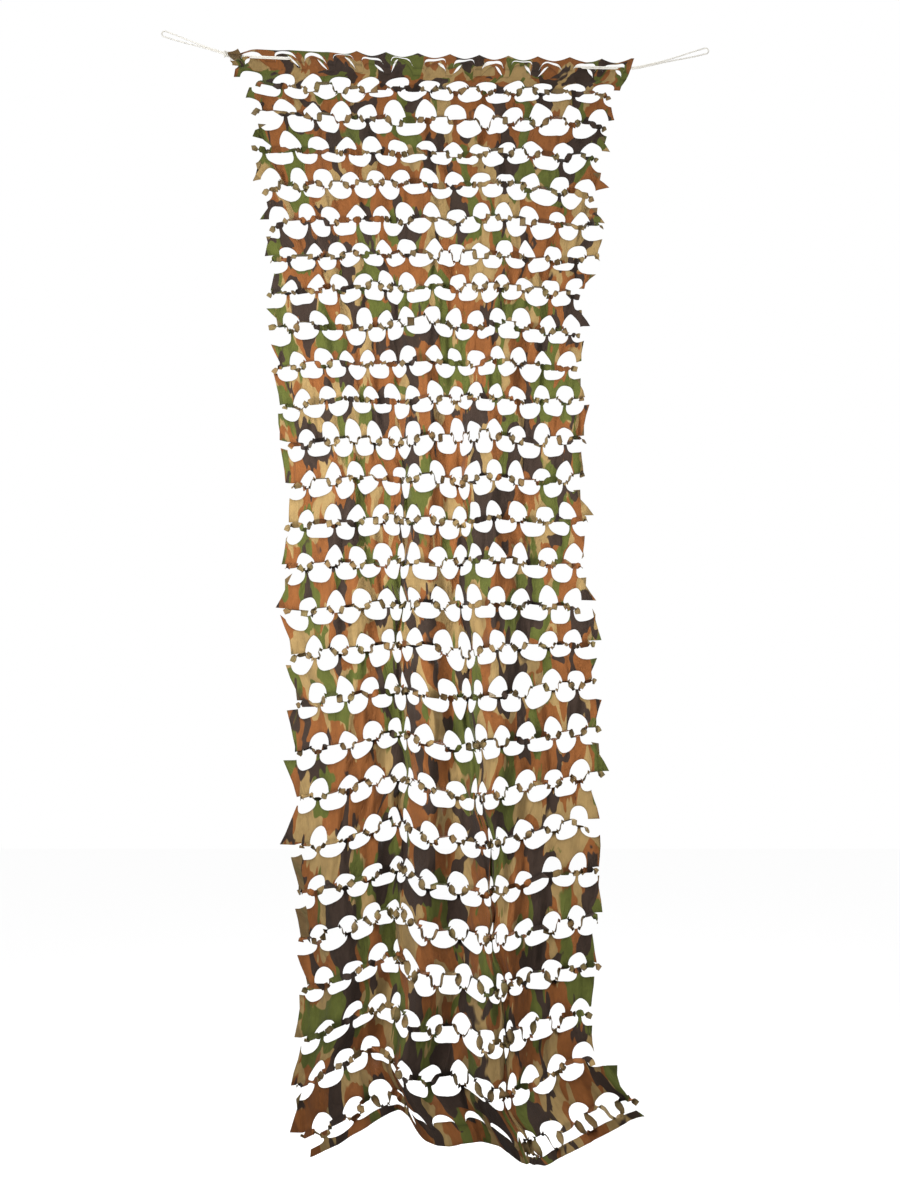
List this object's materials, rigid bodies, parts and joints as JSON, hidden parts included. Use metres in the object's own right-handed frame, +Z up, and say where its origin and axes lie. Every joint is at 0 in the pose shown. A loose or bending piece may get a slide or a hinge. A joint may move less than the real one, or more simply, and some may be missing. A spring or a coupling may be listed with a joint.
{
  "type": "camouflage net on a hanging cord",
  "caption": "Leaf-cut camouflage net, a printed cloth sheet opened into rows of round cuts, hanging in loose folds from a doubled cord with a loop at each end.",
  "frame": {"origin": "middle of the cord's left loop, where a hook takes it", "axes": "+Z up, +X along the cord from the left loop to the right one, -Y out of the printed face of the net, towards the viewer"},
  "size_m": [1.529, 0.1462, 3.0674],
  "materials": {
    "camouflage_cloth": "printed woven polyester with a slight sheen",
    "white_cord": "braided off-white line"
  },
  "bodies": {
    "root": {"net": "camouflage_cloth", "cord": "white_cord", "cord_knot": "white_cord"}
  },
  "joints": []
}
